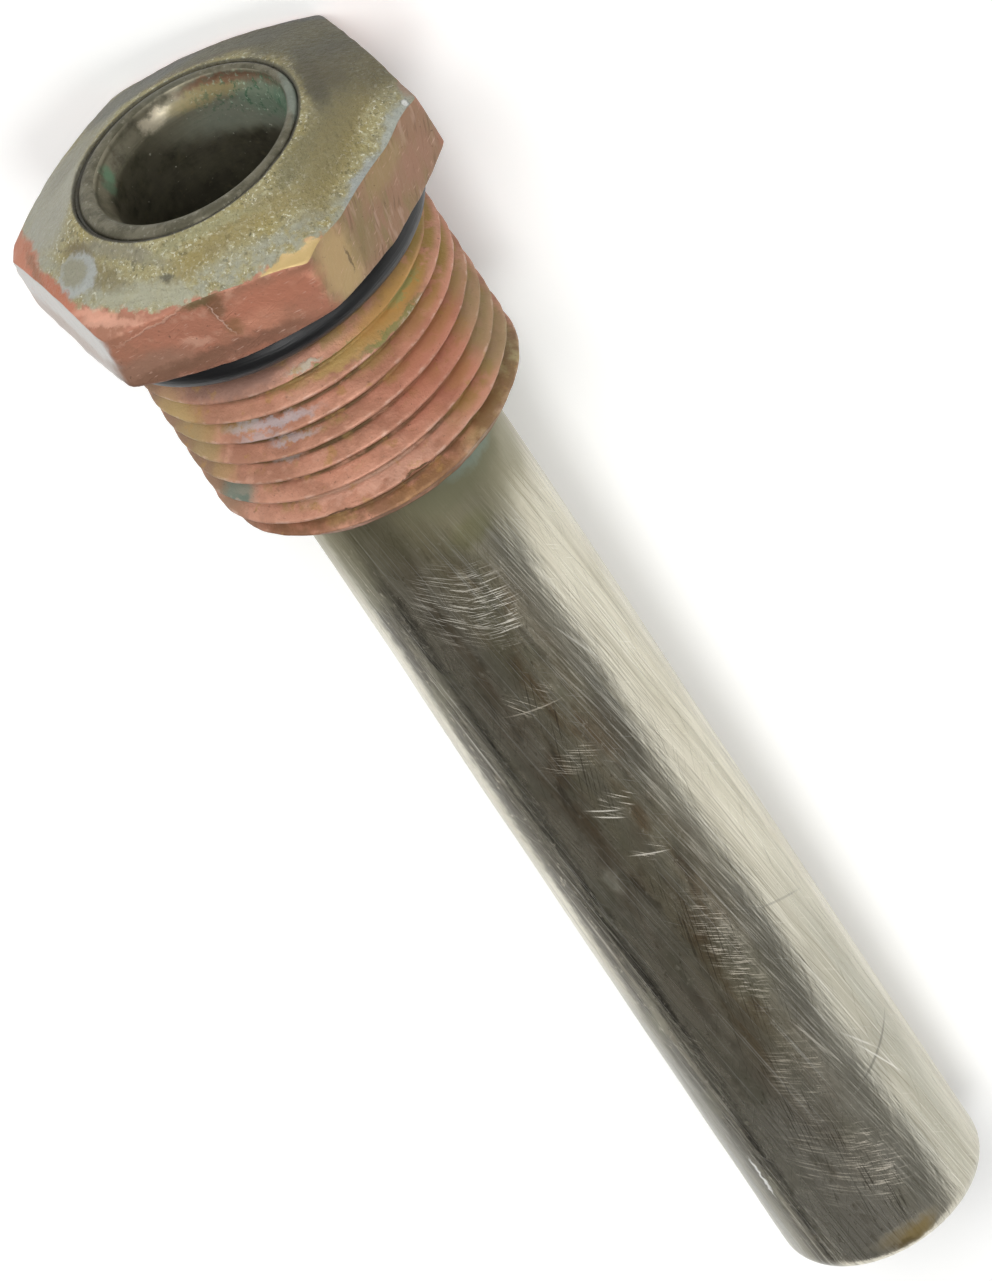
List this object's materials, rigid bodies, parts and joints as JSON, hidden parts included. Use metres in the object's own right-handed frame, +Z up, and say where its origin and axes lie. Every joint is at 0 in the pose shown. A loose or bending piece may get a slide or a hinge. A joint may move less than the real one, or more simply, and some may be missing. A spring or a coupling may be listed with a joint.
{
  "type": "thermowell",
  "caption": "Closed-end thermowell tube soldered into a hexagon-head threaded bushing with an O-ring seal, worn and tarnished.",
  "frame": {"origin": "on the well's axis, in the plane of the seat under the head", "axes": "+X along the well towards the tip, dipping 3.5 degrees as the well lies at rest on a flat of its hexagon and on its tip; +Z up"},
  "size_m": [0.0864, 0.0256, 0.0225],
  "materials": {
    "bushing_brass": "dezincified, turned pink, with olive tarnish and mineral crust",
    "tube_metal": "plated and drawn, tarnished grey-brown, finely scratched along its length",
    "ring_rubber": "black, slightly shiny",
    "joint_solder": "dull grey soft solder"
  },
  "bodies": {
    "root": {"hex_bushing": "bushing_brass", "well_tube": "tube_metal", "o_ring": "ring_rubber", "solder_joint": "joint_solder"}
  },
  "joints": []
}
